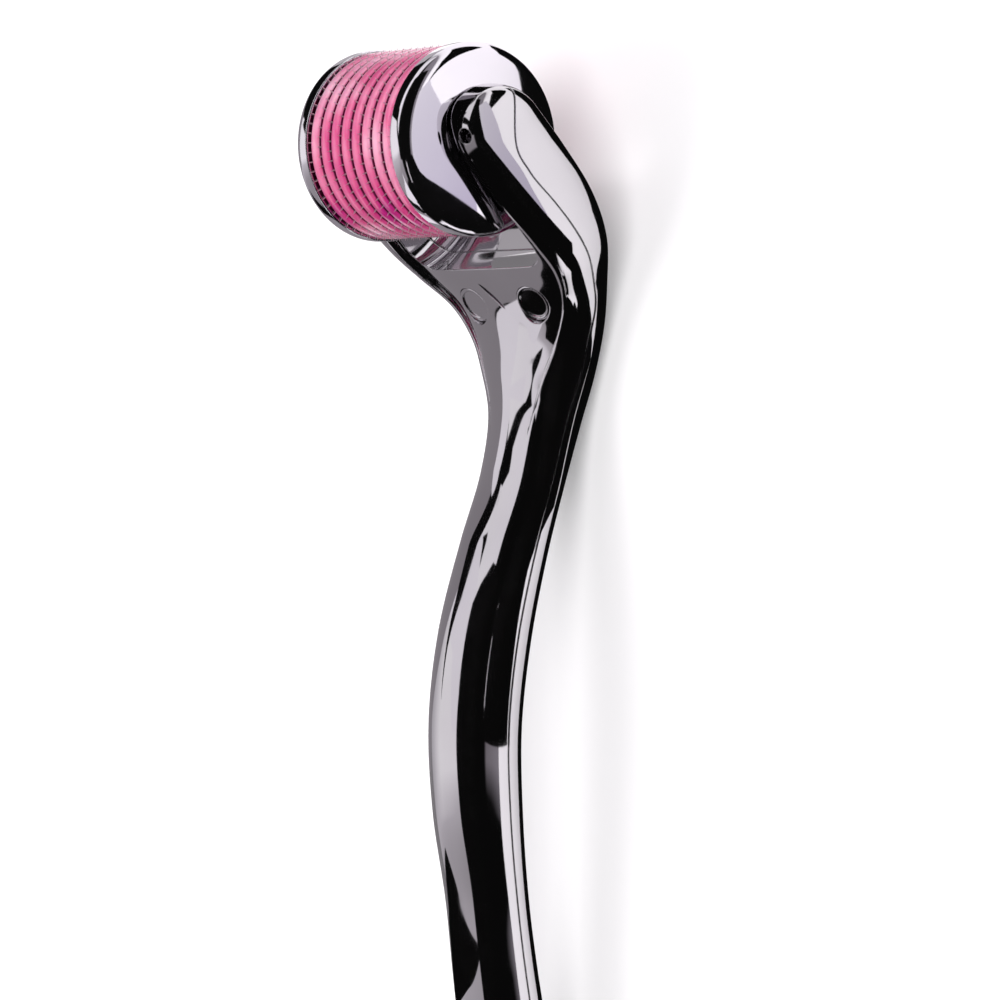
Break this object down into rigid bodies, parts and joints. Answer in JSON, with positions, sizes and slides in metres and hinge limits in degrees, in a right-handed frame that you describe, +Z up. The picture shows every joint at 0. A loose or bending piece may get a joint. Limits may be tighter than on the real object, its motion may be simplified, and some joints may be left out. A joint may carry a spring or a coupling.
{
  "type": "derma roller",
  "caption": "Hand-held skin roller: a drum of fine needle rows and thin pink discs turning between the arms of a slim curved handle.",
  "frame": {"origin": "on the surface the roller lies on, under the middle of the whole part", "axes": "+X along the handle towards the drum, +Y to the left along the axle, +Z up, on the side where the needles face; the roller lies on the back of its handle"},
  "size_m": [0.1498, 0.0332, 0.0314],
  "materials": {
    "black_chrome": "moulded plastic with a polished black-chrome plating",
    "cap_chrome": "moulded plastic with a polished chrome plating",
    "pink_plastic": "clear pink moulded plastic",
    "needle_steel": "bright stainless steel",
    "axle_steel": "plain steel",
    "core_plastic": "natural moulded plastic"
  },
  "bodies": {
    "handle": {"front_shell": "black_chrome", "back_shell": "black_chrome", "neck_plug_left": "black_chrome", "neck_plug_right": "black_chrome", "shell_screw_left": "axle_steel", "shell_screw_right": "axle_steel", "axle": "axle_steel"},
    "drum": {"hub_core": "core_plastic", "needle_ring_1": "needle_steel", "needle_ring_2": "needle_steel", "needle_ring_3": "needle_steel", "needle_ring_4": "needle_steel", "needle_ring_5": "needle_steel", "needle_ring_6": "needle_steel", "needle_ring_7": "needle_steel", "needle_ring_8": "needle_steel", "needle_ring_9": "needle_steel", "spacer_disc_1": "pink_plastic", "spacer_disc_2": "pink_plastic", "spacer_disc_3": "pink_plastic", "spacer_disc_4": "pink_plastic", "spacer_disc_5": "pink_plastic", "spacer_disc_6": "pink_plastic", "spacer_disc_7": "pink_plastic", "spacer_disc_8": "pink_plastic", "end_cap_left": "cap_chrome", "end_cap_right": "cap_chrome"}
  },
  "joints": [
    {"name": "drum_spin", "type": "hinge", "parent": "handle", "child": "drum", "pos_m": [0.06393, 0, 0.0204], "axis": [0, 1, 0], "continuous": true}
  ]
}
